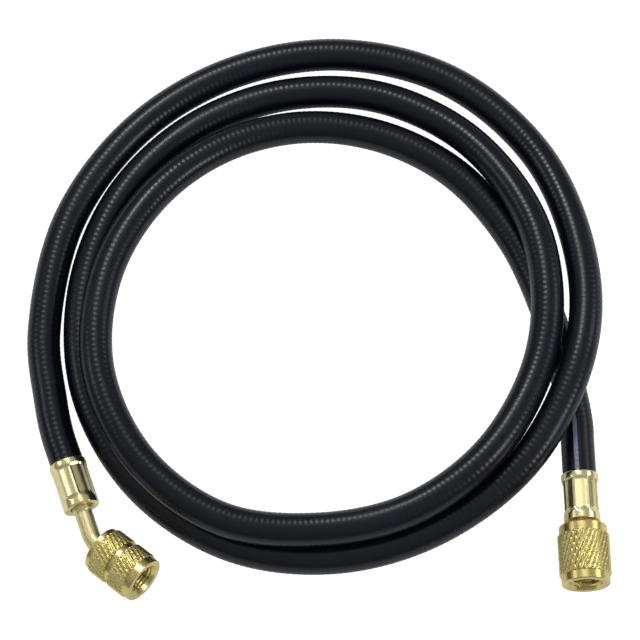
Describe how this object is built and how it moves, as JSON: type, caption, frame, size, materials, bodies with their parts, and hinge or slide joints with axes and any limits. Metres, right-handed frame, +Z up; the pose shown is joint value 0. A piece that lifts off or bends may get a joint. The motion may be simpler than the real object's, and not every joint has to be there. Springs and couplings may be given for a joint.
{
  "type": "refrigerant charging hose",
  "caption": "Coiled black rubber charging hose with crimped brass ferrules, a knurled swivel nut on a straight stem and another on a bent stem.",
  "frame": {"origin": "on the floor, in the middle of the outline of the coiled hose", "axes": "+Z up from the floor; +Y away from the two fittings, -Y towards the nuts; +X towards the straight fitting"},
  "size_m": [0.2071, 0.2167, 0.026],
  "materials": {
    "hose_rubber": "satin, finely ribbed",
    "ferrule_brass": "bright, pale",
    "stem_brass": "bright",
    "nut_brass": "knurled, bright",
    "seal_nylon": "matte white"
  },
  "bodies": {
    "hose": {"hose": "hose_rubber", "ferrule_straight": "ferrule_brass", "ferrule_angled": "ferrule_brass", "stem_straight": "stem_brass", "stem_angled": "stem_brass", "seal_straight": "seal_nylon", "seal_angled": "seal_nylon", "depressor_angled": "stem_brass"},
    "nut_straight": {"nut_straight": "nut_brass"},
    "nut_angled": {"nut_angled": "nut_brass"}
  },
  "joints": [
    {"name": "straight_nut_swivel", "type": "hinge", "parent": "hose", "child": "nut_straight", "pos_m": [0.09384, -0.08186, 0.00904], "axis": [0.02, -0.9979, 0.061], "continuous": true},
    {"name": "angled_nut_swivel", "type": "hinge", "parent": "hose", "child": "nut_angled", "pos_m": [-0.07521, -0.08917, 0.00861], "axis": [0.7648, -0.6239, 0.161], "continuous": true}
  ]
}
